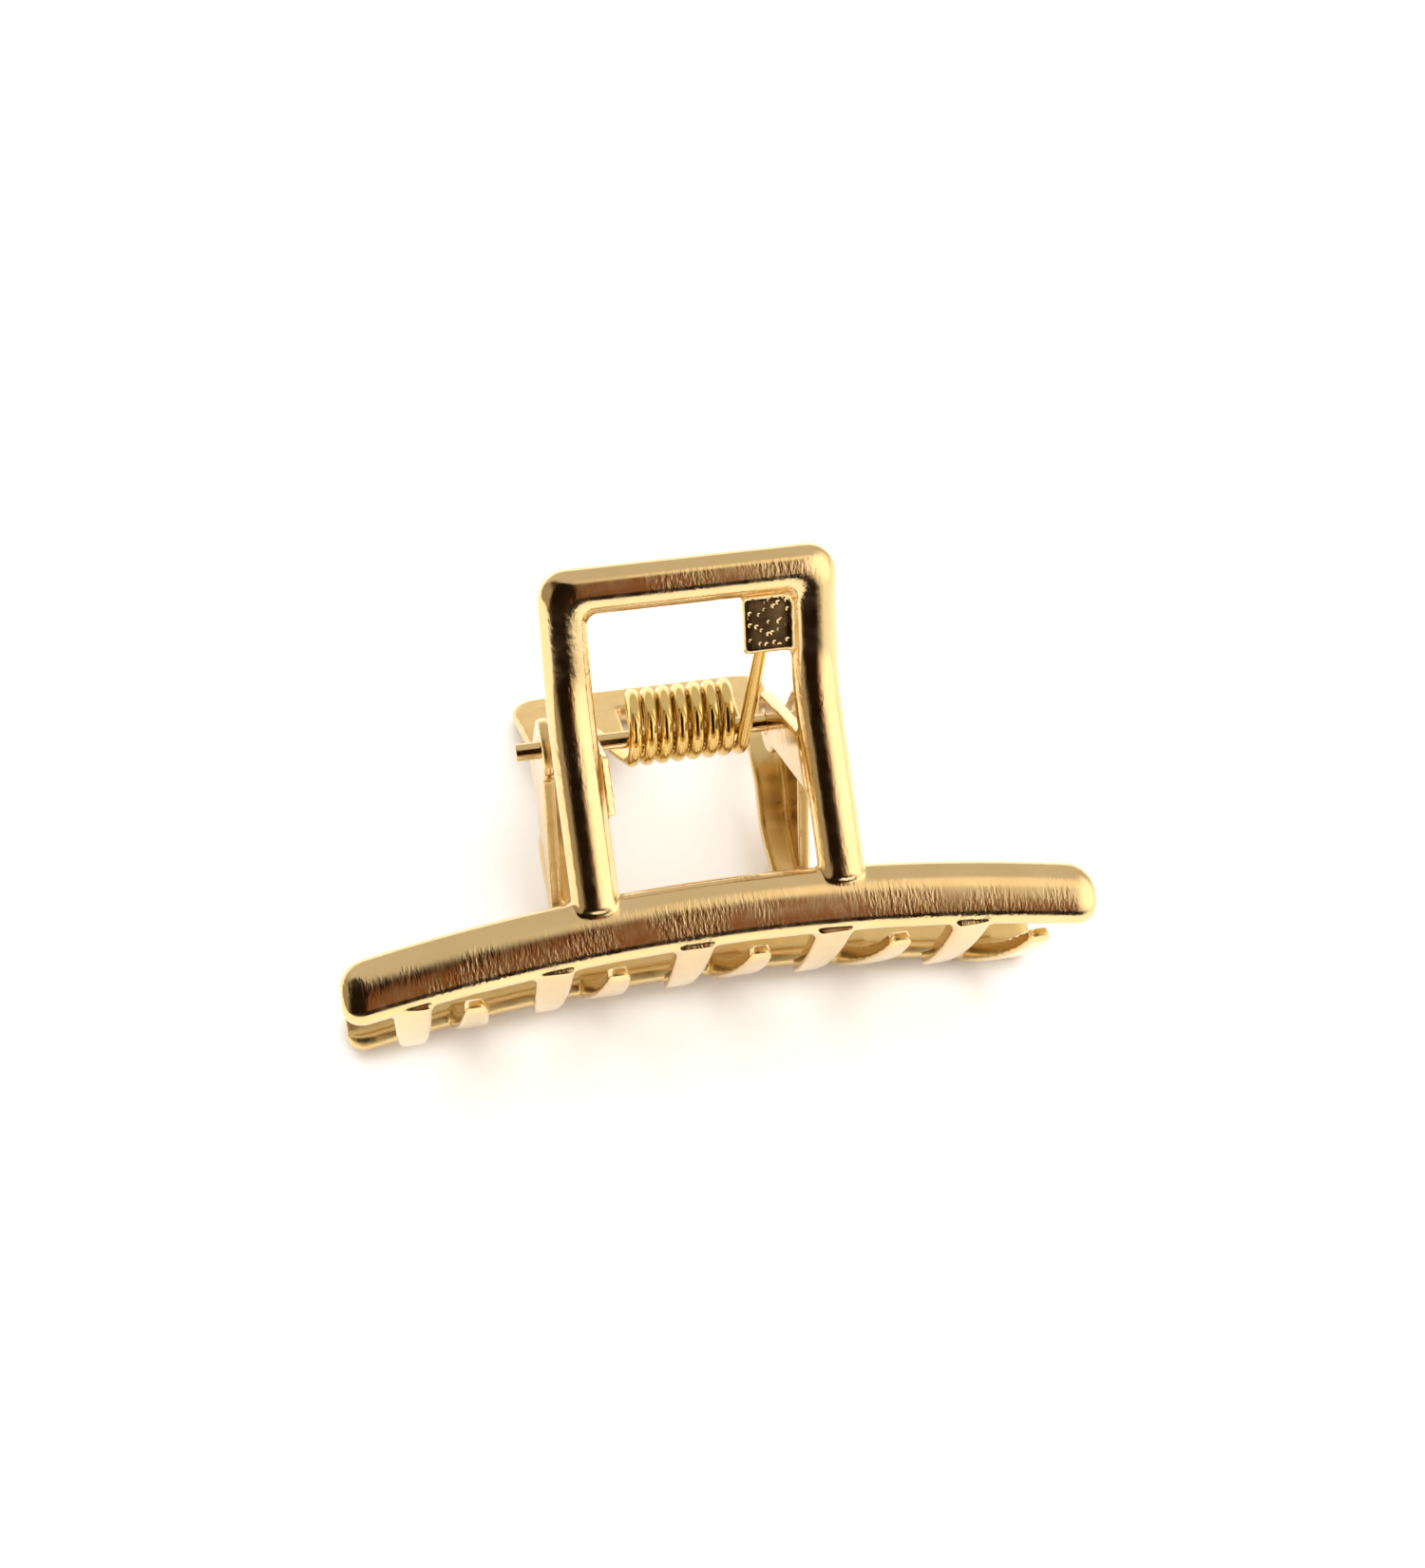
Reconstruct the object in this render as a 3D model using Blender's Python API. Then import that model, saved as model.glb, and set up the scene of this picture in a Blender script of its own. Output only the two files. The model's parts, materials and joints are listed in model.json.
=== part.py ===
"""Small die-cast metal claw clip for hair, lying on its rear jaw.

Two cast jaws turn on one steel pin. A torsion spring on the pin pushes the two
open rectangular handles apart, which holds the toothed bars together.

Everything is drawn first in the clip's own frame, whose origin is the middle of
the hinge pin: X runs along the pin, T points to the rear jaw and S up to the
handles. The finished clip is then tilted about X until the rear jaw's handle
and the two ends of its bar rest on Z = 0.
"""
import math

import bmesh
import bpy
from mathutils import Matrix, Vector

MM = 0.001

# Handle frame and legs: one band bent into an upside-down U.
FRAME_WIDTH = 17.9 * MM
BAND_WIDTH = 2.85 * MM
BAND_FRONT = 1.1 * MM
BAND_BACK = 0.55 * MM
CORNER_OUTER = 1.8 * MM
CORNER_INNER = 0.55 * MM

# Side view of the bands from the handle's end to the bar: T, S, how much wider than
# the frame each leg stands there, and the share of the band's width that it has there.
FRONT_PROFILE = ((-14.8 * MM, 7.05 * MM, 0.0, 1.0), (-9.6 * MM, 0.2 * MM, 0.0, 1.0),
                 (-7.5 * MM, -12.5 * MM, 0.0, 1.0))
REAR_PROFILE = ((-14.5 * MM, 6.6 * MM, 0.15 * MM, 1.0), (-6.6 * MM, -0.9 * MM, -0.9 * MM, 0.72),
                (-8.7 * MM, -4.8 * MM, 0.0, 1.0), (-7.2 * MM, -12.6 * MM, -0.2 * MM, 0.8))
BEND_RADIUS = 3.0 * MM
BEND_STEPS = 6

# Toothed bar.
BAR_LENGTH = 46.0 * MM
BAR_HEIGHT = 4.0 * MM
BAR_TAPER = 0.1
BAR_LEAN = math.radians(9.0)
BAR_FRONT = 1.35 * MM
BAR_BACK = 0.95 * MM
BAR_SAG = 2.1 * MM
BAR_END_LENGTH = 1.5 * MM
BAR_TOP = -10.85 * MM
BAR_T = -7.3 * MM

# Teeth: blades that close the hair space from below and stop short of the other bar.
TOOTH_COUNT = 5
TOOTH_PITCH = 8.55 * MM
TOOTH_SHIFT = -1.88 * MM
TOOTH_ROOT = (2.1 * MM, 1.7 * MM)
TOOTH_TIP = (1.4 * MM, 0.9 * MM)
TOOTH_POINT = (0.7 * MM, 0.5 * MM)
TOOTH_REACH = 12.2 * MM
# Middle line of a tooth as (share of the reach, height over the bar's lower edge).
TOOTH_CURVE = ((-0.02, 0.7 * MM), (0.22, -0.1 * MM), (0.62, -0.85 * MM), (0.95, -0.35 * MM))

# Sideways lean of the rear teeth at their points: at the middle, and for each metre of X.
REAR_LEAN = (-0.5 * MM, 0.03)

# Hinge lugs, pin and pads.
PIN_RADIUS = 0.56 * MM
PIN_LEFT = -10.3 * MM
PIN_RIGHT = 9.35 * MM
PIN_HEAD_RADIUS = 0.9 * MM
PIN_HEAD_LENGTH = 0.4 * MM
HINGE_CLEARANCE = 0.06 * MM
LUG_RADIUS = 2.0 * MM
# X of the two faces of each lug, left lug first, in the jaw's own frame.
FRONT_LUGS = ((-6.4 * MM, -5.6 * MM), (5.95 * MM, 6.75 * MM))
REAR_LUGS = ((-8.8 * MM, -8.0 * MM), (8.0 * MM, 8.8 * MM))
# Where the web of a lug meets the band, as shares of the band's length.
FRONT_WEB = (0.48, 0.68)
REAR_WEB = (0.36, 0.85)
PAD_SIZE = 3.2 * MM
PAD_HEIGHT = 4.0 * MM
REAR_PAD_SIZE = 4.6 * MM
PAD_THICKNESS = 0.8 * MM
PAD_LAP = 0.3 * MM

# Torsion spring.
WIRE_RADIUS = 0.43 * MM
COIL_RADIUS = 2.08 * MM
COIL_TURNS = 7
COIL_PITCH = 1.0 * MM
COIL_LEFT = -3.0 * MM
COIL_LIFT = 0.7 * MM
LEG_END_X = 4.9 * MM
LEG_END_GAP = 0.3 * MM

GOLD = (0.83, 0.66, 0.38, 1.0)


def clear_scene():
    """Remove every object that the file opens with."""
    for obj in list(bpy.data.objects):
        bpy.data.objects.remove(obj, do_unlink=True)


def gold(name, roughness):
    """Make a gold-plated Principled material."""
    material = bpy.data.materials.new(name)
    material.use_nodes = True
    shader = material.node_tree.nodes["Principled BSDF"]
    shader.inputs["Base Color"].default_value = GOLD
    shader.inputs["Metallic"].default_value = 1.0
    shader.inputs["Roughness"].default_value = roughness
    return material


def make_object(name, bm, material=None):
    """Turn a bmesh into a scene object with smooth round faces."""
    bmesh.ops.recalc_face_normals(bm, faces=bm.faces)
    mesh = bpy.data.meshes.new(name)
    bm.to_mesh(mesh)
    bm.free()
    mesh.shade_smooth()
    mesh.set_sharp_from_angle(angle=math.radians(35.0))
    obj = bpy.data.objects.new(name, mesh)
    bpy.context.scene.collection.objects.link(obj)
    if material is not None:
        mesh.materials.append(material)
    return obj


def loft(rings):
    """Join rings of points, each with the same count, and cap both ends."""
    bm = bmesh.new()
    rows = [[bm.verts.new(point) for point in ring] for ring in rings]
    for first, second in zip(rows, rows[1:]):
        for index in range(len(first)):
            following = (index + 1) % len(first)
            bm.faces.new((first[index], first[following], second[following], second[index]))
    bm.faces.new(rows[0])
    bm.faces.new(list(reversed(rows[-1])))
    return bm


def rounded_path(corners, radius, steps):
    """Points along a polyline of (a, b) corners whose inner corners are arcs."""
    points = [Vector(corners[0])]
    for before, corner, after in zip(corners, corners[1:], corners[2:]):
        corner = Vector(corner)
        back = (Vector(before) - corner).normalized()
        ahead = (Vector(after) - corner).normalized()
        half = back.angle(ahead) / 2.0
        reach = radius / math.tan(half)
        start = corner + back * reach
        end = corner + ahead * reach
        centre = corner + (back + ahead).normalized() * (radius / math.sin(half))
        for step in range(steps + 1):
            share = step / steps
            chord = start.lerp(end, share) - centre
            points.append(centre + chord.normalized() * radius)
    points.append(Vector(corners[-1]))
    return points


class SideView:
    """Maps a length along a band and a depth to (T, S) in the side view."""

    def __init__(self, corners):
        self.points = rounded_path([corner[:2] for corner in corners], BEND_RADIUS, BEND_STEPS)
        self.lengths = [0.0]
        for first, second in zip(self.points, self.points[1:]):
            self.lengths.append(self.lengths[-1] + (second - first).length)
        self.total = self.lengths[-1]
        inner = range(1, len(corners) - 1)
        middles = [self.lengths[1 + BEND_STEPS // 2 + (BEND_STEPS + 1) * (k - 1)] for k in inner]
        self.places = list(zip([0.0] + middles + [self.total], [corner[2:] for corner in corners]))

    def edge(self, along, across):
        """Distance from the clip's middle to a line of the band, before its corner."""
        for (start, first), (end, second) in zip(self.places, self.places[1:]):
            if along <= end or end == self.total:
                share = min(max((along - start) / (end - start), 0.0), 1.0)
                share *= share * (3.0 - 2.0 * share)
                flare, width = (a + (b - a) * share for a, b in zip(first, second))
                return FRAME_WIDTH / 2.0 + flare - across * width
        return FRAME_WIDTH / 2.0 - across

    def at(self, along, depth=0.0):
        """Point at a length from the handle's end; depth is towards the outside."""
        along = min(max(along, 0.0), self.total)
        for index in range(len(self.points) - 1):
            if along <= self.lengths[index + 1] or index == len(self.points) - 2:
                break
        run = self.points[index + 1] - self.points[index]
        share = (along - self.lengths[index]) / (self.lengths[index + 1] - self.lengths[index])
        middle = self.points[index] + run * share
        first = self.direction(index)
        second = self.direction(index + 1)
        tangent = first.lerp(second, share).normalized()
        outward = Vector((tangent.y, -tangent.x))
        return middle + outward * depth

    def direction(self, index):
        """Mean direction of the polyline at one of its points."""
        low = max(index - 1, 0)
        high = min(index + 1, len(self.points) - 1)
        return (self.points[high] - self.points[low]).normalized()


def band_section(steps):
    """D-section of the band as (across, depth): flat back, round front."""
    bevel = 0.25 * MM
    points = [(bevel, -BAND_BACK), (0.0, -BAND_BACK + bevel)]
    for step in range(steps + 1):
        angle = math.pi * (1.0 - step / steps)
        across = BAND_WIDTH / 2.0 * (1.0 + math.cos(angle))
        depth = BAND_FRONT * math.sin(angle) ** 0.85
        points.append((across, depth))
    points.append((BAND_WIDTH, -BAND_BACK + bevel))
    points.append((BAND_WIDTH - bevel, -BAND_BACK))
    return points


def frame_edge(across, view, stations):
    """Path (X, along) of one line of the band, from the left leg to the right."""
    radius = CORNER_OUTER + (CORNER_INNER - CORNER_OUTER) * across / BAND_WIDTH
    left = [(-view.edge(along, across), along) for along in reversed(stations)]
    corner = []
    steps = 5
    for step in range(steps + 1):
        angle = math.pi / 2.0 * step / steps
        along = across + radius * (1.0 - math.sin(angle))
        corner.append((-view.edge(along, across) + radius * (1.0 - math.cos(angle)), along))
    right = [(-x, along) for x, along in reversed(left + corner)]
    return left + corner + right


def frame_band(view):
    """The handle frame with its two legs, in the clip's frame."""
    clear = CORNER_OUTER + BAND_WIDTH
    stations = [length for length in view.lengths[1:] if length > clear]
    for start, end in zip([clear] + stations, list(stations)):
        if end - start > BEND_RADIUS:
            stations += [start + (end - start) * share for share in (0.25, 0.5, 0.75)]
    stations.sort()
    section = band_section(8)
    lines = [frame_edge(across, view, stations) for across, depth in section]
    rings = []
    for index in range(len(lines[0])):
        ring = []
        for line, (across, depth) in zip(lines, section):
            x, along = line[index]
            t, s = view.at(along, depth)
            ring.append((x, t, s))
        rings.append(ring)
    return loft(rings)


def bar_section(steps):
    """D-section of the bar as (out, up) from its middle."""
    half = BAR_HEIGHT / 2.0
    bevel = 0.45 * MM
    points = [(-BAR_BACK, -half + bevel), (-BAR_BACK + bevel, -half)]
    for step in range(steps + 1):
        angle = -math.pi / 2.0 + math.pi * step / steps
        points.append((BAR_FRONT * math.cos(angle) ** 0.8, half * math.sin(angle)))
    points.append((-BAR_BACK + bevel, half))
    points.append((-BAR_BACK, half - bevel))
    return points


def bar_reach(x):
    """Share of the way from the bar's middle to its end, squared."""
    return (2.0 * x / BAR_LENGTH) ** 2


def bar_low(x):
    """Height of the bar's lower edge at X."""
    height = BAR_HEIGHT * (1.0 - BAR_TAPER / 2.0 * bar_reach(x))
    return BAR_TOP - BAR_HEIGHT / 2.0 - BAR_SAG * bar_reach(x) - height / 2.0


def crossbar():
    """The arched bar with rounded ends, leaning with the legs."""
    half = BAR_LENGTH / 2.0
    angles = [math.radians(value) for value in (18, 38, 60, 90)]
    left = [(-half + BAR_END_LENGTH * (1.0 - math.cos(angle)), math.sin(angle)) for angle in angles]
    stations = 11
    inner = [(x * half / stations, 1.0) for x in range(2 - stations, stations - 1)]
    right = [(-x, scale) for x, scale in reversed(left)]
    cosine, sine = math.cos(BAR_LEAN), math.sin(BAR_LEAN)
    rings = []
    for x, scale in left + inner + right:
        middle = BAR_TOP - BAR_HEIGHT / 2.0 - BAR_SAG * bar_reach(x)
        deep = 0.45 + 0.55 * scale
        tall = (0.35 + 0.65 * scale) * (1.0 - BAR_TAPER / 2.0 * bar_reach(x))
        ring = []
        for out, up in bar_section(7):
            t = BAR_T - out * deep * cosine - up * tall * sine
            s = middle + up * tall * cosine - out * deep * sine
            ring.append((x, t, s))
        rings.append(ring)
    return loft(rings)


def bezier(controls, f):
    """Point and direction of a cubic curve at share f."""
    g = 1.0 - f
    a, b, c, d = controls
    point = a * g ** 3 + b * 3 * g * g * f + c * 3 * g * f * f + d * f ** 3
    slope = (b - a) * g * g + (c - b) * 2 * g * f + (d - c) * f * f
    return point, slope.normalized()


def tooth(x, lean):
    """One tapered tooth, from inside the bar to just short of the other bar."""
    edge = bar_low(x)
    controls = [Vector((BAR_T + share * TOOTH_REACH, edge + up)) for share, up in TOOTH_CURVE]
    steps = 8
    places = []
    for step in range(steps + 1):
        f = step / steps
        width = TOOTH_ROOT[0] + (TOOTH_TIP[0] - TOOTH_ROOT[0]) * f
        thick = TOOTH_ROOT[1] + (TOOTH_TIP[1] - TOOTH_ROOT[1]) * f ** 0.6
        places.append((*bezier(controls, f), width, thick))
    point, slope = places[-1][:2]
    places.append((point + slope * 0.05 * TOOTH_REACH, slope, *TOOTH_POINT))
    rings = []
    for point, slope, width, thick in places:
        up = Vector((-slope.y, slope.x))
        ring = []
        for side, height in ((-1, -0.6), (-0.75, -1), (0.75, -1), (1, -0.6), (0.8, 1), (-0.8, 1)):
            t, s = point + up * (thick / 2.0 * height)
            ring.append((x + side * width / 2.0 + lean * len(rings) / steps, t, s))
        rings.append(ring)
    return loft(rings)


def extrude_outline(outline, low, high):
    """Prism of a (T, S) outline between two X values."""
    return loft([[(x, t, s) for t, s in outline] for x in (low, high)])


def lug_outline(view, web):
    """Boss round the pin with a web that runs out to the band."""
    depth = -BAND_BACK * 0.3
    upper, lower = (share * view.total for share in web)
    outline = []
    steps = 14
    first = math.radians(100.0)
    last = math.radians(-112.0)
    for step in range(steps + 1):
        angle = first + (last - first) * step / steps
        outline.append(Vector((math.cos(angle), math.sin(angle))) * LUG_RADIUS)
    count = 8
    for step in range(count + 1):
        outline.append(view.at(lower + (upper - lower) * step / count, depth))
    return outline


def cylinder(radius, low, high, segments):
    """Closed rod along X."""
    rings = []
    for x in (low, high):
        rings.append([(x, radius * math.cos(2 * math.pi * k / segments),
                       radius * math.sin(2 * math.pi * k / segments)) for k in range(segments)])
    return loft(rings)


def boolean(target, cutter_bm, operation):
    """Apply one exact Boolean and drop the tool object."""
    cutter = make_object("tool", cutter_bm)
    modifier = target.modifiers.new(operation, "BOOLEAN")
    modifier.operation = operation
    modifier.solver = "EXACT"
    modifier.object = cutter
    depsgraph = bpy.context.evaluated_depsgraph_get()
    mesh = bpy.data.meshes.new_from_object(target.evaluated_get(depsgraph))
    target.modifiers.clear()
    old = target.data
    target.data = mesh
    bpy.data.meshes.remove(old)
    bpy.data.objects.remove(cutter, do_unlink=True)


def jaw(name, profile, pad_size, web, lugs, lean, material):
    """One casting: frame, pad, lugs, bar and teeth joined into one solid."""
    view = SideView(profile)
    obj = make_object(name, frame_band(view), material)
    boolean(obj, crossbar(), "UNION")
    for index in range(TOOTH_COUNT):
        x = TOOTH_SHIFT + TOOTH_PITCH * (index - (TOOTH_COUNT - 1) / 2.0)
        boolean(obj, tooth(x, lean[0] + lean[1] * x), "UNION")
    outline = lug_outline(view, web)
    for low, high in lugs:
        boolean(obj, extrude_outline(outline, low, high), "UNION")
    right = FRAME_WIDTH / 2.0 - BAND_WIDTH + PAD_LAP
    top = BAND_WIDTH - PAD_LAP
    corners = [(right - pad_size, top), (right, top), (right, top + PAD_HEIGHT),
               (right - pad_size, top + PAD_HEIGHT)]
    rings = []
    for depth in (-BAND_BACK + 0.02 * MM, -BAND_BACK + PAD_THICKNESS):
        rings.append([(x, *view.at(along, depth)) for x, along in corners])
    boolean(obj, loft(rings), "UNION")
    hole = cylinder(PIN_RADIUS + HINGE_CLEARANCE, -12.0 * MM, 12.0 * MM, 24)
    boolean(obj, hole, "DIFFERENCE")
    obj.data.shade_smooth()
    obj.data.set_sharp_from_angle(angle=math.radians(35.0))
    return obj


def hinge_pin(material):
    """Steel pin with a peened head at its right end."""
    chamfer = 0.12 * MM
    profile = ((PIN_LEFT, PIN_RADIUS - chamfer), (PIN_LEFT + chamfer, PIN_RADIUS),
               (PIN_RIGHT - PIN_HEAD_LENGTH, PIN_RADIUS), (PIN_RIGHT - PIN_HEAD_LENGTH, PIN_HEAD_RADIUS),
               (PIN_RIGHT - 0.1 * MM, PIN_HEAD_RADIUS), (PIN_RIGHT, PIN_HEAD_RADIUS - 0.2 * MM))
    segments = 20
    rings = []
    for x, radius in profile:
        rings.append([(x, radius * math.cos(2 * math.pi * k / segments),
                       radius * math.sin(2 * math.pi * k / segments)) for k in range(segments)])
    return make_object("hinge_pin", loft(rings), material)


def leg_angle(turn):
    """Angle from the coil's lowest point at which a straight leg leaves the coil."""
    t, s = leg_end(turn)
    distance = math.hypot(t, s - COIL_LIFT)
    return math.atan2(s - COIL_LIFT, abs(t)) + math.asin(COIL_RADIUS / distance)


def leg_end(turn):
    """(T, S) of a leg's end behind its pad; turn is 1 at the front, -1 at the rear."""
    view = SideView(FRONT_PROFILE if turn > 0 else REAR_PROFILE)
    t, s = view.at(BAND_WIDTH + PAD_HEIGHT * 0.6, -BAND_BACK - LEG_END_GAP - WIRE_RADIUS)
    return turn * t, s


def wire_route():
    """Centre line of the spring: rear leg, coil and front leg."""
    steps = 14
    first = -leg_angle(-1)
    last = COIL_TURNS * 2.0 * math.pi + leg_angle(1)
    count = math.ceil((last - first) / (2.0 * math.pi) * steps)
    points = [Vector((-LEG_END_X, *leg_end(-1)))]
    for step in range(count + 1):
        angle = first + (last - first) * step / count
        x = COIL_LEFT + COIL_PITCH * (angle - first) / (2.0 * math.pi)
        points.append(Vector((x, -COIL_RADIUS * math.sin(angle),
                              COIL_LIFT - COIL_RADIUS * math.cos(angle))))
    points.append(Vector((LEG_END_X, *leg_end(1))))
    return points


def tube(points, radius, sides):
    """Round wire along a list of points, closed at both ends."""
    rings = []
    side = None
    for index, point in enumerate(points):
        low = points[max(index - 1, 0)]
        high = points[min(index + 1, len(points) - 1)]
        tangent = (high - low).normalized()
        if side is None:
            side = tangent.orthogonal().normalized()
        side = (side - tangent * side.dot(tangent)).normalized()
        other = tangent.cross(side)
        rings.append([point + (side * math.cos(2 * math.pi * k / sides)
                               + other * math.sin(2 * math.pi * k / sides)) * radius
                      for k in range(sides)])
    return loft(rings)


def torsion_spring(material):
    """Coil on the pin with one leg behind each pad."""
    return make_object("torsion_spring", tube(wire_route(), WIRE_RADIUS, 8), material)


def rest_tilt(points):
    """Angle between the clip's mid-plane and the table under the rear jaw's points."""
    handle = [point for point in points if point.z > 0.0]
    bar = [point for point in points if point.z < BAR_TOP]
    low, high = 0.0, math.pi / 4.0
    for halving in range(40):
        tilt = (low + high) / 2.0
        across, up = -math.cos(tilt), math.sin(tilt)
        handle_height = min(point.y * across + point.z * up for point in handle)
        bar_height = min(point.y * across + point.z * up for point in bar)
        if handle_height > bar_height:
            high = tilt
        else:
            low = tilt
    return low


def main():
    """Build the clip and lay it on its rear jaw."""
    clear_scene()
    cast = gold("gold_plated_casting", 0.16)
    rear_cast = gold("gold_plated_rear_casting", 0.16)
    front = jaw("front_jaw", FRONT_PROFILE, PAD_SIZE, FRONT_WEB, FRONT_LUGS, (0.0, 0.0), cast)
    rear = jaw("rear_jaw", REAR_PROFILE, REAR_PAD_SIZE, REAR_WEB, REAR_LUGS, REAR_LEAN,
               rear_cast)
    pin = hinge_pin(gold("gold_plated_pin", 0.2))
    spring = torsion_spring(gold("gold_plated_spring_wire", 0.2))

    turn = Matrix.Rotation(math.pi, 4, "Z")
    tilt = rest_tilt([turn @ vertex.co for vertex in rear.data.vertices])
    lay = Matrix.Rotation(tilt - math.pi / 2.0, 4, "X")
    placed = ((front, lay), (rear, lay @ turn), (pin, lay), (spring, lay))
    low = Vector((math.inf, math.inf, math.inf))
    high = -low
    for obj, matrix in placed:
        for vertex in obj.data.vertices:
            point = matrix @ vertex.co
            low = Vector(min(a, b) for a, b in zip(low, point))
            high = Vector(max(a, b) for a, b in zip(high, point))
    origin = Vector(((low.x + high.x) / 2.0, (low.y + high.y) / 2.0, low.z))
    for obj, matrix in placed:
        obj.matrix_world = Matrix.Translation(-origin) @ matrix


if __name__ == "__main__":
    main()
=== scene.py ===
"""Gold-plated claw clip for hair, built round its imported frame.

The clip has its own frame, whose origin is the middle of the hinge pin: X runs
along the pin, T points to the rear jaw and S up to the handles. Every piece is
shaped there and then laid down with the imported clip, on its rear jaw.
"""
from __future__ import annotations

import json
import logging
import math
from dataclasses import dataclass
from enum import Enum
from typing import Callable, Iterable, Sequence

import bpy
from mathutils import Matrix, Vector

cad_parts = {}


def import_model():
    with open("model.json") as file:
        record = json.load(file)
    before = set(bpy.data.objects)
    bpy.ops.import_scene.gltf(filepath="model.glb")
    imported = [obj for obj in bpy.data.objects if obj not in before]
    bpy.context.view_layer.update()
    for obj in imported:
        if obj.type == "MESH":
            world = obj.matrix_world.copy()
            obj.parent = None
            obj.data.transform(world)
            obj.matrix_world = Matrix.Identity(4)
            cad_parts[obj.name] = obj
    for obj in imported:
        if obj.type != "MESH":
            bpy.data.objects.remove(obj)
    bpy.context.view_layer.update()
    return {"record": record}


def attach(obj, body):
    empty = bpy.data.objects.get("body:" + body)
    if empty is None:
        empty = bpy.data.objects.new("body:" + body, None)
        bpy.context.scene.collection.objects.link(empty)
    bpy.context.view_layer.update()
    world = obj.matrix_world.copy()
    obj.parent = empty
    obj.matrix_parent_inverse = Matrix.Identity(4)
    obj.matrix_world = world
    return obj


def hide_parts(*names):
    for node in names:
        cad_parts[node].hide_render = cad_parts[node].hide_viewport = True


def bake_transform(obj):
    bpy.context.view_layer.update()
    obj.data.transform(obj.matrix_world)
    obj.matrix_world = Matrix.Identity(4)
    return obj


MM = 0.001
LOG = logging.getLogger("claw_clip")
WELD = 0.0005 * MM


def linear(hex_colour: str) -> tuple[float, float, float, float]:
    """Turn an sRGB hex colour into linear red, green, blue and alpha.

    Args:
        hex_colour: The colour as "#rrggbb".

    Returns:
        Four linear values, alpha 1.
    """
    values = [int(hex_colour[place:place + 2], 16) / 255.0 for place in (1, 3, 5)]
    curve = [v / 12.92 if v <= 0.04045 else ((v + 0.055) / 1.055) ** 2.4 for v in values]
    return (*curve, 1.0)


def add_node(tree: bpy.types.NodeTree, kind: str, sockets: dict, **settings) -> bpy.types.Node:
    """Add one node to a tree.

    Args:
        tree: The material's or world's node tree.
        kind: Blender's name for the node.
        sockets: Input name or number to a value, or to (node, output) for a link.
        settings: The node's own properties.

    Returns:
        The new node.
    """
    node = tree.nodes.new(kind)
    for key, value in settings.items():
        setattr(node, key, value)
    for key, value in sockets.items():
        if isinstance(value, tuple) and isinstance(value[0], bpy.types.Node):
            tree.links.new(value[0].outputs[value[1]], node.inputs[key])
        else:
            node.inputs[key].default_value = value
    return node


class Side(Enum):
    """Which jaw a piece belongs to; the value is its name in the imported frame."""

    FRONT = "front"
    REAR = "rear"


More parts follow.
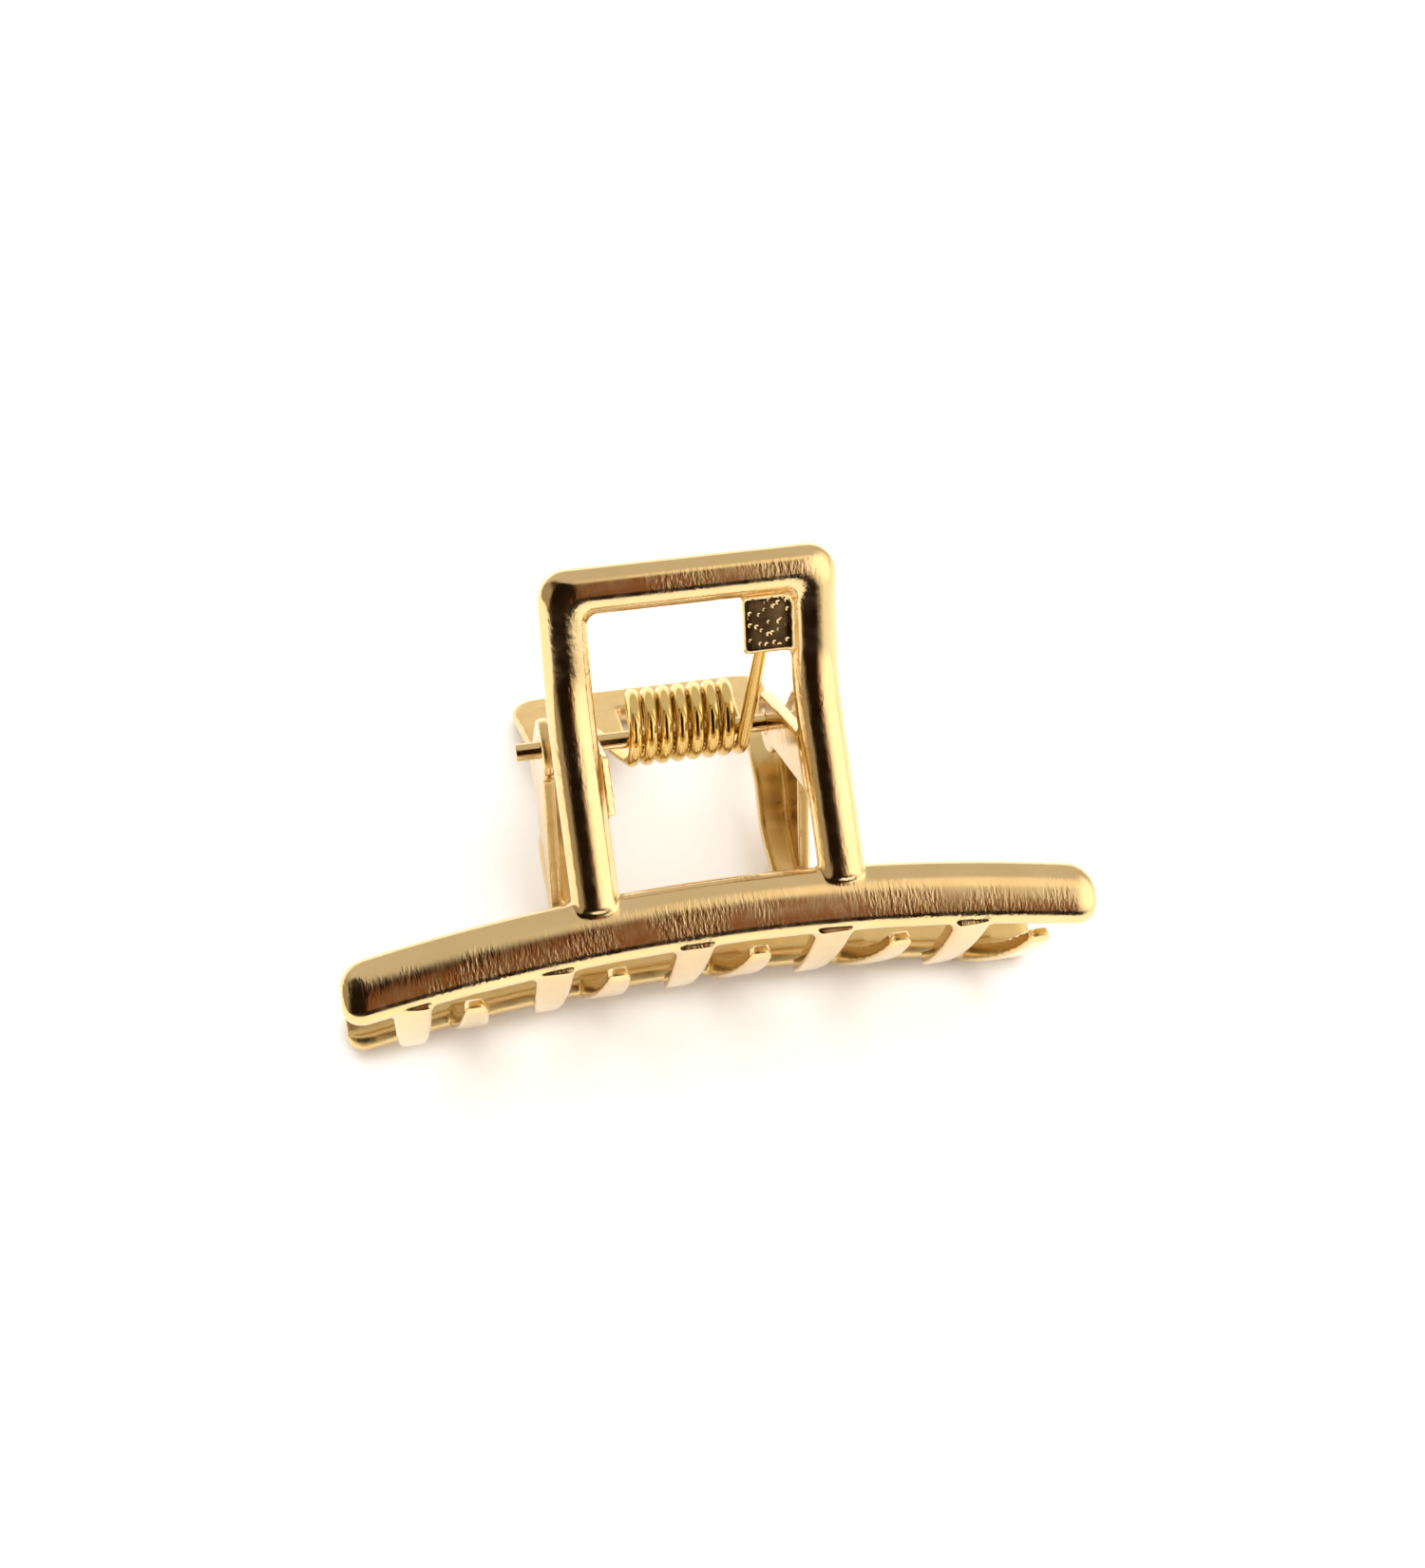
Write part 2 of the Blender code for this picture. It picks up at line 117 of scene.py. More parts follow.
@dataclass(frozen=True)
class PlatedGold:
    """Bright light gold electroplate, as it lies on one kind of blank.

    It gives the eye a mirror-like pale gold whose reflections waver and break up a little.
    """

    name: str
    colour: str = "#edd4a2"
    worn: str = "#e2c185"
    patch: float = 3.5 * MM
    roughness: tuple[float, float] = (0.10, 0.20)
    haze: float = 0.8 * MM
    ripple: float = 1.3 * MM
    ripple_depth: float = 0.006 * MM
    hatch: float = 0.20 * MM
    hatch_depth: float = 0.024 * MM
    hatch_patch: float = 4.0 * MM
    hatch_turn: float = math.radians(58.0)
    scratch: float = 0.07 * MM
    scratch_depth: float = 0.0008 * MM
    pit: float = 0.0
    pit_depth: float = 0.03 * MM

    def build(self) -> bpy.types.Material:
        """Make the material.

        Returns:
            A metal with cast ripples, slanting polishing marks and fine scratches.
        """
        material = bpy.data.materials.new(self.name)
        material.use_nodes = True
        tree = material.node_tree
        shader = tree.nodes["Principled BSDF"]
        shader.inputs["Metallic"].default_value = 1.0
        where = (add_node(tree, "ShaderNodeTexCoord", {}), "Object")
        tint = self.tint(tree, where)
        tree.links.new(tint.outputs[2], shader.inputs["Base Color"])
        haze = add_node(tree, "ShaderNodeTexNoise",
                        {"Vector": where, "Scale": 1.0 / self.haze, "Detail": 4.0})
        gloss = add_node(tree, "ShaderNodeMapRange",
                         {"Value": (haze, 0), "From Min": 0.3, "From Max": 0.7,
                          "To Min": self.roughness[0], "To Max": self.roughness[1]})
        tree.links.new(gloss.outputs[0], shader.inputs["Roughness"])
        relief = self.scratches(tree, where, self.marks(tree, where, self.ripples(tree, where)))
        if self.pit > 0.0:
            relief = self.pits(tree, where, relief)
        tree.links.new(relief.outputs[0], shader.inputs["Normal"])
        return material

    def tint(self, tree: bpy.types.NodeTree, where: tuple) -> bpy.types.Node:
        """Mix the plate's two tones: thinner, redder patches of a few millimetres.

        Args:
            tree: The material's node tree.
            where: The coordinate node and its output.

        Returns:
            The colour mix.
        """
        patches = add_node(tree, "ShaderNodeTexNoise",
                           {"Vector": where, "Scale": 1.0 / self.patch, "Detail": 3.0})
        # A colour mix shares its sockets' names with the number mix, so they go by number.
        return add_node(tree, "ShaderNodeMix",
                        {0: (patches, 0), 6: linear(self.colour), 7: linear(self.worn)},
                        data_type="RGBA")

    def ripples(self, tree: bpy.types.NodeTree, where: tuple) -> bpy.types.Node:
        """Raise the soft ripples of a cast face, about a millimetre apart.

        Args:
            tree: The material's node tree.
            where: The coordinate node and its output.

        Returns:
            The rippled relief.
        """
        ripple = add_node(tree, "ShaderNodeTexNoise",
                          {"Vector": where, "Scale": 1.0 / self.ripple, "Detail": 2.0})
        return add_node(tree, "ShaderNodeBump",
                        {"Height": (ripple, 0), "Distance": self.ripple_depth, "Strength": 1.0})

    def marks(self, tree: bpy.types.NodeTree, where: tuple,
              below: bpy.types.Node) -> bpy.types.Node:
        """Draw the slanting marks of the polishing wheel.

        Args:
            tree: The material's node tree.
            where: The coordinate node and its output.
            below: The relief that the marks lie on.

        Returns:
            The relief with marks, left in some places and polished out in others.
        """
        # Noise drawn out five times along the wheel's run. It is drawn as coarse and as deep as
        # it needs to be to show; finer marks were lost.
        turned = add_node(tree, "ShaderNodeMapping",
                          {"Vector": where, "Rotation": (0.5, 0.2, self.hatch_turn),
                           "Scale": (1.0, 0.2, 0.6)})
        hatch = add_node(tree, "ShaderNodeTexNoise",
                         {"Vector": (turned, 0), "Scale": 1.0 / self.hatch, "Detail": 2.0,
                          "Roughness": 0.5})
        left = add_node(tree, "ShaderNodeTexNoise",
                        {"Vector": where, "Scale": 1.0 / self.hatch_patch, "Detail": 1.0})
        share = add_node(tree, "ShaderNodeMapRange",
                         {"Value": (left, 0), "From Min": 0.40, "From Max": 0.62,
                          "To Min": 0.08, "To Max": 1.0})
        return add_node(tree, "ShaderNodeBump",
                        {"Height": (hatch, 0), "Distance": self.hatch_depth,
                         "Strength": (share, 0), "Normal": (below, 0)})

    def scratches(self, tree: bpy.types.NodeTree, where: tuple,
                  below: bpy.types.Node) -> bpy.types.Node:
        """Draw handling scratches, finer than the marks and across them.

        Args:
            tree: The material's node tree.
            where: The coordinate node and its output.
            below: The relief that they lie on.

        Returns:
            The relief with scratches.
        """
        crossed = add_node(tree, "ShaderNodeMapping",
                           {"Vector": where, "Rotation": (0.2, 0.4, -self.hatch_turn),
                            "Scale": (1.0, 0.06, 0.3)})
        scratch = add_node(tree, "ShaderNodeTexNoise",
                           {"Vector": (crossed, 0), "Scale": 1.0 / self.scratch, "Detail": 1.0})
        return add_node(tree, "ShaderNodeBump",
                        {"Height": (scratch, 0), "Distance": self.scratch_depth,
                         "Strength": 1.0, "Normal": (below, 0)})

    def pits(self, tree: bpy.types.NodeTree, where: tuple,
             below: bpy.types.Node) -> bpy.types.Node:
        """Scatter the pits of a face left as it was cast.

        Args:
            tree: The material's node tree.
            where: The coordinate node and its output.
            below: The relief that they lie on.

        Returns:
            The relief with pits.
        """
        cells = add_node(tree, "ShaderNodeTexVoronoi",
                         {"Vector": where, "Scale": 1.0 / self.pit, "Randomness": 1.0})
        pits = add_node(tree, "ShaderNodeMapRange",
                        {"Value": (cells, "Distance"), "From Min": 0.12, "From Max": 0.34,
                         "To Min": 0.0, "To Max": 1.0})
        return add_node(tree, "ShaderNodeBump",
                        {"Height": (pits, 0), "Distance": self.pit_depth, "Strength": 1.0,
                         "Normal": (below, 0)})


class Bench:
    """The modelling operations that the pieces share."""

    @staticmethod
    def clear() -> None:
        """Deselect everything."""
        bpy.ops.object.select_all(action="DESELECT")

    @staticmethod
    def wrap(columns: int, rows: int, place: Callable[[int, int], Vector]) -> bpy.types.Object:
        """Roll a grid into a closed sleeve and fill its two ends.

        Args:
            columns: Faces round the sleeve; the first and last column meet.
            rows: Faces along the sleeve.
            place: Gives the point for a column and a row.

        Returns:
            The closed sleeve, in object mode.
        """
        Bench.clear()
        bpy.ops.mesh.primitive_grid_add(x_subdivisions=columns, y_subdivisions=rows, size=2.0)
        sleeve = bpy.context.object
        for vertex in sleeve.data.vertices:
            column = round((vertex.co.x + 1.0) / 2.0 * columns)
            row = round((vertex.co.y + 1.0) / 2.0 * rows)
            vertex.co = place(column % columns, row)
        bpy.ops.object.mode_set(mode="EDIT")
        bpy.ops.mesh.select_all(action="SELECT")
        bpy.ops.mesh.remove_doubles(threshold=WELD)
        bpy.ops.mesh.fill_holes(sides=0)
        bpy.ops.mesh.select_all(action="SELECT")
        bpy.ops.mesh.normals_make_consistent(inside=False)
        bpy.ops.object.mode_set(mode="OBJECT")
        return sleeve

    @staticmethod
    def plate(outline: Sequence[Vector], low: float, high: float) -> bpy.types.Object:
        """Extrude a (T, S) outline along X.

        Args:
            outline: Corners in order.
            low: X of the first face.
            high: X of the second face.

        Returns:
            The closed plate.
        """
        Bench.clear()
        bpy.ops.mesh.primitive_circle_add(vertices=len(outline), radius=MM, fill_type="NGON")
        plate = bpy.context.object
        for vertex, corner in zip(plate.data.vertices, outline):
            vertex.co = (low, corner.x, corner.y)
        bpy.ops.object.mode_set(mode="EDIT")
        bpy.ops.mesh.select_all(action="SELECT")
        bpy.ops.mesh.extrude_region_move(TRANSFORM_OT_translate={"value": (high - low, 0.0, 0.0)})
        bpy.ops.mesh.select_all(action="SELECT")
        bpy.ops.mesh.normals_make_consistent(inside=False)
        bpy.ops.object.mode_set(mode="OBJECT")
        return plate

    @staticmethod
    def rod(radius: float, low: float, high: float, sides: int) -> bpy.types.Object:
        """Add a round rod along X.

        Args:
            radius: Its radius.
            low: X of its left end.
            high: X of its right end.
            sides: Faces round it.

        Returns:
            The rod.
        """
        Bench.clear()
        bpy.ops.mesh.primitive_cylinder_add(
            vertices=sides, radius=radius, depth=high - low,
            location=((low + high) / 2.0, 0.0, 0.0), rotation=(0.0, math.pi / 2.0, 0.0))
        bpy.ops.object.transform_apply(location=True, rotation=True, scale=True)
        return bpy.context.object

    @staticmethod
    def apply(obj: bpy.types.Object, kind: str, **settings) -> None:
        """Add one modifier and apply it.

        Args:
            obj: The object that it changes.
            kind: Blender's name for the modifier.
            settings: The modifier's own properties.
        """
        modifier = obj.modifiers.new(kind.title(), kind)
        for key, value in settings.items():
            setattr(modifier, key, value)
        Bench.clear()
        obj.select_set(True)
        bpy.context.view_layer.objects.active = obj
        bpy.ops.object.modifier_apply(modifier=modifier.name)

    @staticmethod
    def cut(obj: bpy.types.Object, tool: bpy.types.Object) -> None:
        """Take a tool's shape out of an object and remove the tool.

        Args:
            obj: The object that is cut.
            tool: The shape to take away.
        """
        Bench.apply(obj, "BOOLEAN", operation="DIFFERENCE", solver="EXACT", object=tool)
        bpy.data.objects.remove(tool, do_unlink=True)

    @staticmethod
    def join(pieces: Iterable[bpy.types.Object], name: str) -> bpy.types.Object:
        """Join pieces into one object.

        Args:
            pieces: The objects to join.
            name: The name of the result.

        Returns:
            The joined object.
        """
        group = list(pieces)
        Bench.clear()
        for piece in group:
            piece.select_set(True)
        bpy.context.view_layer.objects.active = group[0]
        bpy.ops.object.join()
        group[0].name = name
        group[0].data.name = name
        return group[0]

    @staticmethod
    def smooth(obj: bpy.types.Object, angle: float) -> None:
        """Shade an object smooth.

        Args:
            obj: The object to shade.
            angle: Edges sharper than this stay crisp.
        """
        Bench.clear()
        obj.select_set(True)
        bpy.context.view_layer.objects.active = obj
        bpy.ops.object.shade_smooth_by_angle(angle=angle)


@dataclass(frozen=True)
class SideProfile:
    """Side view of a band: T, S, flare and share of the band's width at each corner."""

    corners: tuple[tuple[float, float, float, float], ...]
    bend_radius: float = 3.0 * MM
    bend_steps: int = 14

    def polyline(self) -> list[Vector]:
        """Round the inner corners.

        Returns:
            The end corners, with an arc of points for each inner one.
        """
        flat = [Vector(corner[:2]) for corner in self.corners]
        points = [flat[0]]
        for before, corner, after in zip(flat, flat[1:], flat[2:]):
            back = (before - corner).normalized()
            ahead = (after - corner).normalized()
            half = back.angle(ahead) / 2.0
            reach = self.bend_radius / math.tan(half)
            centre = corner + (back + ahead).normalized() * (self.bend_radius / math.sin(half))
            for step in range(self.bend_steps + 1):
                share = step / self.bend_steps
                chord = (corner + back * reach).lerp(corner + ahead * reach, share) - centre
                points.append(centre + chord.normalized() * self.bend_radius)
        points.append(flat[-1])
        return points


class SideView:
    """Turns a length along a band and a depth into T and S."""

    def __init__(self, profile: SideProfile) -> None:
        """Measure the profile's polyline.

        Args:
            profile: The band's side view.
        """
        self.points = profile.polyline()
        self.lengths = [0.0]
        for first, second in zip(self.points, self.points[1:]):
            self.lengths.append(self.lengths[-1] + (second - first).length)
        self.total = self.lengths[-1]
        steps = profile.bend_steps
        inner = range(len(profile.corners) - 2)
        middles = [self.lengths[1 + steps // 2 + (steps + 1) * k] for k in inner]
        self.places = list(zip([0.0] + middles + [self.total],
                               [corner[2:] for corner in profile.corners]))

    def stance(self, along: float) -> tuple[float, float]:
        """Find how a leg stands at a length.

        Args:
            along: Length from the handle's end.

        Returns:
            How far it stands outside the frame's half width, and its share of the width.
        """
        for (start, first), (end, second) in zip(self.places, self.places[1:]):
            if along <= end:
                share = min(max((along - start) / (end - start), 0.0), 1.0)
                share *= share * (3.0 - 2.0 * share)
                return tuple(a + (b - a) * share for a, b in zip(first, second))
        return self.places[-1][1]

    def direction(self, index: int) -> Vector:
        """Find the polyline's mean direction at one of its points.

        Args:
            index: The point's place in the polyline.

        Returns:
            The unit direction in T and S.
        """
        low = max(index - 1, 0)
        high = min(index + 1, len(self.points) - 1)
        return (self.points[high] - self.points[low]).normalized()

    def at(self, along: float, depth: float = 0.0) -> Vector:
        """Find a point in the side view.

        Args:
            along: Length from the handle's end.
            depth: Distance from the band's middle towards its outside.

        Returns:
            T and S.
        """
        along = min(max(along, 0.0), self.total)
        index = 0
        while index < len(self.points) - 2 and along > self.lengths[index + 1]:
            index += 1
        share = (along - self.lengths[index]) / (self.lengths[index + 1] - self.lengths[index])
        middle = self.points[index].lerp(self.points[index + 1], share)
        tangent = self.direction(index).lerp(self.direction(index + 1), share).normalized()
        return middle + Vector((tangent.y, -tangent.x)) * depth


@dataclass
class Jaw:
    """One casting: open handle, two legs, spring pad, hinge lugs, arched bar and teeth."""

    side: Side
    profile: SideProfile
    web: tuple[float, float]
    lugs: tuple[tuple[float, float], tuple[float, float]]
    pad_width: float
    frame_width: float = 17.9 * MM
    band_width: float = 2.85 * MM
    band_front: float = 1.1 * MM
    band_back: float = 0.55 * MM
    band_side: float = 0.42 * MM
    band_bevel: float = 0.2 * MM
    foot_round: float = 0.8 * MM
    corner_outer: float = 1.8 * MM
    corner_inner: float = 0.55 * MM
    bar_length: float = 46.0 * MM
    bar_height: float = 4.0 * MM
    bar_taper: float = 0.1
    bar_lean: float = math.radians(9.0)
    bar_front: float = 1.35 * MM
    bar_back: float = 0.95 * MM
    bar_recess: float = 0.35 * MM
    bar_bevel: float = 0.45 * MM
    bar_sag: float = 2.1 * MM
    bar_end: float = 1.5 * MM
    bar_top: float = -10.85 * MM
    bar_t: float = -7.3 * MM
    tooth_lean: tuple[float, float] = (0.0, 0.0)
    tooth_count: int = 5
    tooth_pitch: float = 8.55 * MM
    tooth_shift: float = -1.88 * MM
    tooth_root: tuple[float, float] = (2.4 * MM, 1.7 * MM)
    tooth_tip: tuple[float, float] = (1.5 * MM, 0.9 * MM)
    tooth_point: tuple[float, float] = (0.9 * MM, 0.5 * MM)
    tooth_reach: float = 12.2 * MM
    lug_radius: float = 2.0 * MM
    lug_arc: tuple[float, float] = (math.radians(100.0), math.radians(-112.0))
    web_depth: float = 0.3
    bore_radius: float = 0.64 * MM
    pad_height: float = 4.0 * MM
    pad_thickness: float = 0.8 * MM
    pad_lap: float = 0.3 * MM
    pad_bevel: float = 0.16 * MM
    pad_rim: float = 0.3 * MM
    pad_gap: float = 0.12 * MM
    voxel: float = 0.14 * MM
    softening: int = 5

    def __post_init__(self) -> None:
        """Measure the side view once."""
        self.view = SideView(self.profile)

    def band_section(self) -> list[tuple[float, float]]:
        """Return the band's section: flat back, steep sides and a domed front.

        Returns:
            (across, depth), from the middle of the back round by the outer side.
        """
        bevel = self.band_bevel
        side = self.band_side
        half = self.band_width / 2.0
        points = [(half, -self.band_back), (bevel, -self.band_back),
                  (0.0, -self.band_back + bevel)]
        front = [(0.0, -self.band_back + 2.2 * bevel)]
        # The steep side starts a quarter of the way up and the dome three quarters.
        chamfer = self.band_front * 0.25
        shoulder = self.band_front * 0.72
        side_steps = 5
        for step in range(side_steps + 1):
            share = step / side_steps
            front.append((side * (0.05 + 0.95 * share), chamfer + (shoulder - chamfer) * share))
        dome_steps = 14
        for step in range(1, dome_steps + 1):
            share = step / dome_steps
            across = side + (half - side) * share
            bulge = 1.0 - (1.0 - share) ** 2.0
            front.append((across, shoulder + (self.band_front - shoulder) * bulge))
        points += front
        points += [(self.band_width - across, depth) for across, depth in reversed(front[:-1])]
        points.append((self.band_width, -self.band_back + bevel))
        points.append((self.band_width - bevel, -self.band_back))
        return points

    def edge(self, along: float, across: float) -> float:
        """Return X of one line of the left leg at a length along it."""
        flare, width = self.view.stance(along)
        return across * width - self.frame_width / 2.0 - flare

    def band_line(self, across: float) -> list[tuple[float, float]]:
        """Trace one line of the band.

        Args:
            across: Distance from the frame's outer edge.

        Returns:
            (X, along) from the left leg's foot, over the handle, to the right foot.
        """
        radius = (self.corner_outer
                  + (self.corner_inner - self.corner_outer) * across / self.band_width)
        clear = self.corner_outer + self.band_width
        leg_steps = 120
        left = []
        for step in range(leg_steps + 1):
            along = self.view.total + (clear - self.view.total) * step / leg_steps
            left.append((self.edge(along, across), along))
        corner_steps = 12
        for step in range(corner_steps + 1):
            angle = math.pi / 2.0 * step / corner_steps
            along = across + radius * (1.0 - math.sin(angle))
            left.append((self.edge(along, across) + radius * (1.0 - math.cos(angle)), along))
        return left + [(-x, along) for x, along in reversed(left)]

    def band(self) -> bpy.types.Object:
        """Build the handle frame and both legs.

        Returns:
            The closed band.
        """
        section = self.band_section()
        lines = [self.band_line(across) for across, depth in section]

        def place(column: int, row: int) -> Vector:
            """Put one grid point on the band, with its foot rounded off.

            Args:
                column: Which line of the section.
                row: How far along the band.

            Returns:
                The point in the clip's frame.
            """
            x, along = lines[column][row]
            depth = section[column][1]
            short = max(1.0 - (self.view.total - along) / self.foot_round, 0.0)
            if depth > 0.0:
                depth *= math.sqrt(1.0 - short * short)
            t, s = self.view.at(along, depth)
            return Vector((x, t, s))

        return Bench.wrap(len(section), len(lines[0]) - 1, place)

    def reach(self, x: float) -> float:
        """Return the squared share of the way from the bar's middle to its end."""
        return (2.0 * x / self.bar_length) ** 2

    def bar_share(self, x: float) -> float:
        """Return the share of its full height that the bar has at X."""
        return 1.0 - self.bar_taper / 2.0 * self.reach(x)

    def bar_middle(self, x: float) -> float:
        """Return S of the arched bar's middle at X."""
        return self.bar_top - self.bar_height / 2.0 - self.bar_sag * self.reach(x)

    def bar_section(self) -> list[tuple[float, float]]:
        """Draw the bar's section: round front, and a shallow recess in its back.

        Returns:
            (out, up), from the middle of the back round by the lower edge.
        """
        half = self.bar_height / 2.0
        bevel = self.bar_bevel
        floor = -self.bar_back + self.bar_recess
        points = [(floor, 0.0), (floor, -0.5 * half), (-self.bar_back, -0.6 * half),
                  (-self.bar_back, -half + bevel), (-self.bar_back + bevel, -half)]
        steps = 26
        for step in range(steps + 1):
            angle = -math.pi / 2.0 + math.pi * step / steps
            cosine = max(math.cos(angle), 0.0)
            points.append((self.bar_front * cosine ** 0.8, half * math.sin(angle)))
        points += [(-self.bar_back + bevel, half), (-self.bar_back, half - bevel),
                   (-self.bar_back, 0.6 * half), (floor, 0.5 * half)]
        return points

    def bar(self) -> bpy.types.Object:
        """Build the arched bar with its rounded ends.

        Returns:
            The closed bar.
        """
        section = self.bar_section()
        half = self.bar_length / 2.0
        end_steps = 10
        first = math.radians(8.0)
        left = []
        for step in range(end_steps + 1):
            angle = first + (math.pi / 2.0 - first) * step / end_steps
            left.append((-half + self.bar_end * (1.0 - math.cos(angle)), math.sin(angle)))
        straight = half - self.bar_end
        inner_steps = 90
        inner = [(-straight + 2.0 * straight * step / inner_steps, 1.0)
                 for step in range(1, inner_steps)]
        stations = left + inner + [(-x, scale) for x, scale in reversed(left)]
        cosine, sine = math.cos(self.bar_lean), math.sin(self.bar_lean)

        def place(column: int, row: int) -> Vector:
            """Put one grid point on the bar.

            Args:
                column: Which line of the section.
                row: Which station along the bar.

            Returns:
                The point in the clip's frame.
            """
            x, scale = stations[row]
            out, up = section[column]
            # The ends round off in plan and in height.
            out *= 0.45 + 0.55 * scale
            up *= (0.35 + 0.65 * scale) * self.bar_share(x)
            middle = self.bar_middle(x)
            return Vector((x, self.bar_t - out * cosine - up * sine,
                           middle + up * cosine - out * sine))

        return Bench.wrap(len(section), len(stations) - 1, place)

    def tooth(self, x: float) -> bpy.types.Object:
        """Build one tapered tooth with a bevelled point.

        Args:
            x: Place along the bar.

        Returns:
            The closed tooth.
        """
        edge = self.bar_middle(x) - self.bar_height * self.bar_share(x) / 2.0
        # Share of the reach, and millimetres over the bar's lower edge.
        curve = ((-0.02, 0.7), (0.22, -0.1), (0.62, -0.85), (0.95, -0.35))
        a, b, c, d = (Vector((self.bar_t + share * self.tooth_reach, edge + up * MM))
                      for share, up in curve)
        steps = 24
        places = []
        for step in range(steps + 1):
            gone = step / steps
            left = 1.0 - gone
            point = (a * left ** 3 + b * 3 * left * left * gone
                     + c * 3 * left * gone * gone + d * gone ** 3)
            slope = ((b - a) * left * left + (c - b) * 2 * left * gone
                     + (d - c) * gone * gone).normalized()
            width = self.tooth_root[0] + (self.tooth_tip[0] - self.tooth_root[0]) * gone ** 1.6
            thick = self.tooth_root[1] + (self.tooth_tip[1] - self.tooth_root[1]) * gone ** 0.6
            places.append((point, slope, width, thick))
        point, slope = places[-1][:2]
        places.append((point + slope * 0.05 * self.tooth_reach, slope, *self.tooth_point))
        lean = self.tooth_lean[0] + self.tooth_lean[1] * x
        sides = ((-1.0, -0.8), (-0.8, -1.0), (0.8, -1.0), (1.0, -0.8), (0.8, 1.0), (-0.8, 1.0))

        def place(column: int, row: int) -> Vector:
            """Put one grid point on the tooth.

            Args:
                column: Which side of the section.
                row: How far along the tooth.

            Returns:
                The point in the clip's frame.
            """
            middle, along, width, thick = places[row]
            across, up = sides[column]
            t, s = middle + Vector((-along.y, along.x)) * (thick / 2.0 * up)
            return Vector((x + across * width / 2.0 + lean * row / steps, t, s))

        return Bench.wrap(len(sides), len(places) - 1, place)

    def lug(self, low: float, high: float) -> bpy.types.Object:
        """Build one hinge lug with its web and its bore.

        Args:
            low: X of its left face.
            high: X of its right face.

        Returns:
            The bored plate.
        """
        depth = -self.band_back * self.web_depth
        upper, lower = (share * self.view.total for share in self.web)
        first, last = self.lug_arc
        arc_steps = 40
        outline = []
        for step in range(arc_steps + 1):
            angle = first + (last - first) * step / arc_steps
            outline.append(Vector((math.cos(angle), math.sin(angle))) * self.lug_radius)
        edge_steps = 20
        for step in range(edge_steps + 1):
            share = step / edge_steps
            outline.append(self.view.at(lower + (upper - lower) * share, depth))
        plate = Bench.plate(outline, low, high)
        Bench.cut(plate, Bench.rod(self.bore_radius, low - MM, high + MM, 48))
        return plate

    def pad(self) -> bpy.types.Object:
        """Build the pad in the handle's corner, with its bevelled rim.

        Returns:
            The closed pad.
        """
        right = self.frame_width / 2.0 - self.band_width + self.pad_lap
        top = self.band_width - self.pad_lap
        Bench.clear()
        bpy.ops.mesh.primitive_cube_add(size=2.0)
        pad = bpy.context.object
        for vertex in pad.data.vertices:
            x = right - self.pad_width * (1.0 - vertex.co.x) / 2.0
            along = top + self.pad_height * (1.0 - vertex.co.y) / 2.0
            depth = -self.band_back + self.pad_thickness * (1.0 + vertex.co.z) / 2.0
            vertex.co = (x, *self.view.at(along, depth))
        bpy.ops.object.mode_set(mode="EDIT")
        bpy.ops.mesh.select_all(action="SELECT")
        bpy.ops.mesh.normals_make_consistent(inside=False)
        bpy.ops.mesh.bevel(offset=self.pad_bevel, segments=3, affect="EDGES")
        bpy.ops.object.mode_set(mode="OBJECT")
        return pad

    def dress(self, casting: bpy.types.Object, polished: PlatedGold, inner: PlatedGold,
              grained: PlatedGold) -> None:
        """Plate the casting: polished outside, satin where no wheel reaches.

        Args:
            casting: The casting, still in the clip's frame.
            polished: The finish of the outer faces.
            inner: The finish of the faces that look at the other jaw.
            grained: The finish of the pad's face.
        """
        casting.data.materials.clear()
        for finish in (polished, inner, grained):
            casting.data.materials.append(finish.build())
        edge = self.frame_width / 2.0 - self.band_width
        right = edge - self.pad_gap
        left = edge + self.pad_lap - self.pad_width + self.pad_rim
        height = self.pad_height
        top = self.view.at(self.band_width + self.pad_gap).y
        foot = self.view.at(self.band_width + height - self.pad_lap - self.pad_rim).y
        outward = Vector((0.0, *(self.view.at(height, MM) - self.view.at(height)) / MM))
        flat, inward = 0.97, 0.62
        for face in casting.data.polygons:
            x, _, s = face.center
            if face.normal.dot(outward) > flat and left < x < right and foot < s < top:
                face.material_index = 2
            else:
                face.material_index = int(face.normal.y > inward)

    def cast(self) -> bpy.types.Object:
        """Run the shapes together into one casting with soft inner corners.

        Returns:
            The casting in the clip's frame.
        """
        shapes = [self.band(), self.bar(), self.pad()]
        shapes += [self.lug(low, high) for low, high in self.lugs]
        for index in range(self.tooth_count):
            place = index - (self.tooth_count - 1) / 2.0
            shapes.append(self.tooth(self.tooth_shift + self.tooth_pitch * place))
        casting = Bench.join(shapes, f"{self.side.value}_casting")
        Bench.apply(casting, "REMESH", mode="VOXEL", voxel_size=self.voxel, adaptivity=0.0)
        Bench.apply(casting, "SMOOTH", factor=0.5, iterations=self.softening)
        Bench.smooth(casting, math.radians(60.0))
        return casting


